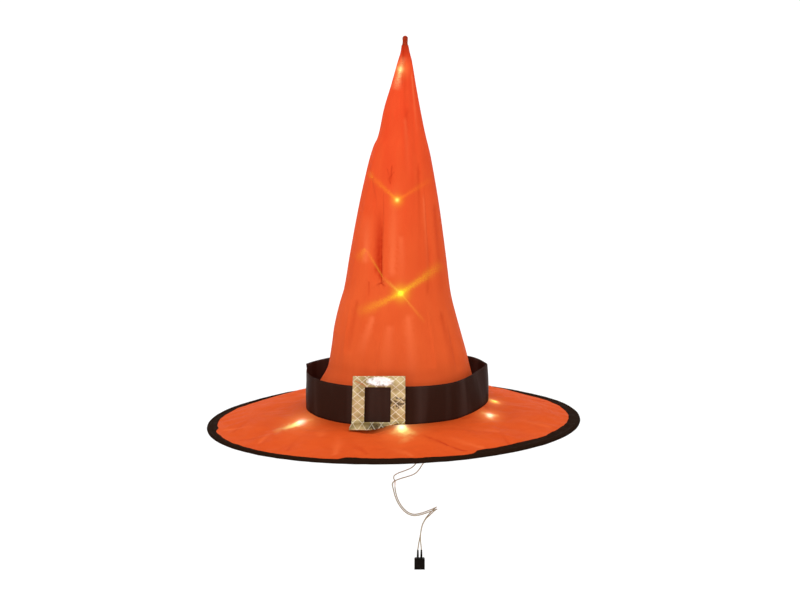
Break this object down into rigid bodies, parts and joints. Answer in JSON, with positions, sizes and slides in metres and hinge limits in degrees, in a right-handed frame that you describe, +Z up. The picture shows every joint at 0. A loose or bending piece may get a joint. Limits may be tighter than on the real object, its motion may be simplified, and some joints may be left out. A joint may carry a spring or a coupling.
{
  "type": "witch hat",
  "caption": "Pointed cloth witch hat with a hooped brim, a black band with a square foil buckle, LED lights inside and a two-wire lead with a connector.",
  "frame": {"origin": "centre of the head opening, in the plane where the crown meets the brim", "axes": "+Z up along the crown towards its tip, -Y towards the front, where the buckle is, +X to the wearer's left"},
  "size_m": [0.38, 0.38, 0.5189],
  "materials": {
    "orange_cloth": "woven polyester with a soft sheen",
    "dark_red_cloth": "matt rolled cloth",
    "black_tape": "matt woven tape",
    "black_satin": "satin ribbon",
    "gold_foil": "metallised foil on a stiff backing",
    "spring_steel": "drawn wire",
    "black_thread": "sewing thread",
    "clear_resin": "clear drop",
    "white_patch": "adhesive cloth tape",
    "clear_wire": "copper strands in clear insulation",
    "black_plastic": "moulded, fine matt",
    "tin_plate": "tinned contact"
  },
  "bodies": {
    "root": {"crown_cone": "orange_cloth", "brim_panel": "orange_cloth", "crown_tip_knot": "dark_red_cloth", "brim_binding": "black_tape", "opening_tape": "black_tape", "hat_band": "black_satin", "buckle_frame": "gold_foil", "brim_hoop": "spring_steel", "hoop_ferrule": "spring_steel", "band_tack_front": "black_thread", "band_tack_back": "black_thread", "buckle_tack_left": "black_thread", "buckle_tack_right": "black_thread", "light_string_crown": "clear_wire", "light_string_brim": "clear_wire", "lead_wire_a": "clear_wire", "lead_wire_b": "clear_wire", "lead_splice": "clear_resin", "string_joint_a": "black_plastic", "string_joint_b": "black_plastic", "lead_sleeve_a": "black_plastic", "lead_sleeve_b": "black_plastic", "connector_housing": "black_plastic", "contact_a": "tin_plate", "contact_b": "tin_plate", "led_crown_low": "clear_resin", "led_crown_middle": "clear_resin", "led_crown_top": "clear_resin", "led_patch_crown_low": "white_patch", "led_patch_crown_middle": "white_patch", "led_brim_1": "clear_resin", "led_patch_brim_1": "white_patch", "led_brim_2": "clear_resin", "led_patch_brim_2": "white_patch", "led_brim_3": "clear_resin", "led_patch_brim_3": "white_patch", "led_brim_4": "clear_resin", "led_patch_brim_4": "white_patch", "led_brim_5": "clear_resin", "led_patch_brim_5": "white_patch", "led_brim_6": "clear_resin", "led_patch_brim_6": "white_patch", "led_brim_7": "clear_resin", "led_patch_brim_7": "white_patch"}
  },
  "joints": []
}
